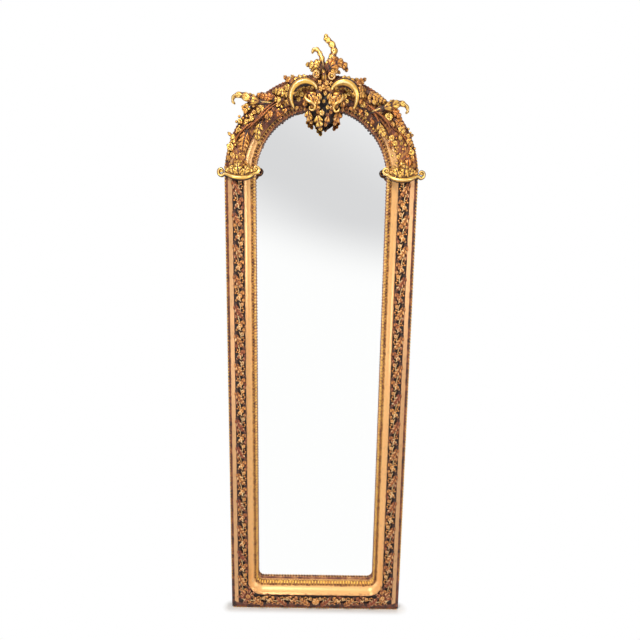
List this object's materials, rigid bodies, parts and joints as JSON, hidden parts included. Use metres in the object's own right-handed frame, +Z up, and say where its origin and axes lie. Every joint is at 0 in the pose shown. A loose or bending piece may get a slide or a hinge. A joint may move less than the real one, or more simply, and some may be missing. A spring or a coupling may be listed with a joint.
{
  "type": "floor mirror",
  "caption": "Full-length floor mirror with a round-arched, deeply moulded gilt frame, carved foliage, a scrolled cartouche and a plumed crest.",
  "frame": {"origin": "on the floor under the middle of the overall box", "axes": "+Z up, front face towards -Y, +X to the right seen from the front"},
  "size_m": [0.7292, 0.1373, 2.1815],
  "materials": {
    "gilded_wood": "gessoed pine with worn gold leaf over red clay, satin",
    "gilded_bead": "pressed bead course, gold leaf with brown glaze in the hollows",
    "gilded_ornament": "cast ornament, gold leaf rubbed on the high points and dark brown in the hollows",
    "silvered_glass": "plain silvered float glass",
    "plywood": "unfinished birch plywood",
    "softwood": "planed softwood",
    "beech": "plain beech",
    "rubber_pad": "black setting rubber",
    "zinc_plated_steel": "zinc plated, slightly dull"
  },
  "bodies": {
    "frame": {"arch_dowels": "beech", "arch_segment_left_high": "gilded_wood", "arch_segment_left_low": "gilded_wood", "arch_segment_right_high": "gilded_wood", "arch_segment_right_low": "gilded_wood", "back_board": "plywood", "back_board_screws": "zinc_plated_steel", "bottom_rail": "gilded_wood", "cartouche": "gilded_ornament", "cartouche_leaf_left": "gilded_ornament", "cartouche_leaf_right": "gilded_ornament", "collar_leaf_left": "gilded_ornament", "collar_leaf_right": "gilded_ornament", "collar_left": "gilded_ornament", "collar_right": "gilded_ornament", "corner_fillet_left": "gilded_wood", "corner_fillet_right": "gilded_wood", "crest_tenon": "beech", "crown_leaf_left": "gilded_ornament", "crown_leaf_right": "gilded_ornament", "crown_scroll_left": "gilded_ornament", "crown_scroll_right": "gilded_ornament", "finial_bud": "gilded_ornament", "finial_curl": "gilded_ornament", "finial_fruits": "gilded_ornament", "finial_leaf_left": "gilded_ornament", "finial_leaf_right": "gilded_ornament", "finial_plume": "gilded_ornament", "foliage_arch_left": "gilded_ornament", "foliage_arch_right": "gilded_ornament", "foliage_rail": "gilded_ornament", "foliage_stile_left": "gilded_ornament", "foliage_stile_right": "gilded_ornament", "hanger_screws": "zinc_plated_steel", "hanger_strap_left": "zinc_plated_steel", "hanger_strap_right": "zinc_plated_steel", "horn_leaf_left": "gilded_ornament", "horn_leaf_right": "gilded_ornament", "mirror_glass": "silvered_glass", "outer_bead_arch": "gilded_bead", "outer_bead_foot": "gilded_bead", "outer_bead_left": "gilded_bead", "outer_bead_right": "gilded_bead", "retaining_fillet_arch": "softwood", "retaining_fillet_foot": "softwood", "retaining_fillet_left": "softwood", "retaining_fillet_right": "softwood", "scroll_flower_left": "gilded_ornament", "scroll_flower_right": "gilded_ornament", "setting_pads": "rubber_pad", "sight_bead_arch": "gilded_bead", "sight_bead_foot": "gilded_bead", "sight_bead_left": "gilded_bead", "sight_bead_right": "gilded_bead", "stile_left": "gilded_wood", "stile_right": "gilded_wood"},
    "ring_left": {"hanger_ring_left": "zinc_plated_steel"},
    "ring_right": {"hanger_ring_right": "zinc_plated_steel"}
  },
  "joints": [
    {"name": "ring_left_swing", "type": "hinge", "parent": "frame", "child": "ring_left", "pos_m": [-0.306, 0.066, 1.503], "axis": [1, 0, 0], "range_deg": [0, 180]},
    {"name": "ring_right_swing", "type": "hinge", "parent": "frame", "child": "ring_right", "pos_m": [0.306, 0.066, 1.503], "axis": [1, 0, 0], "range_deg": [0, 180]}
  ]
}
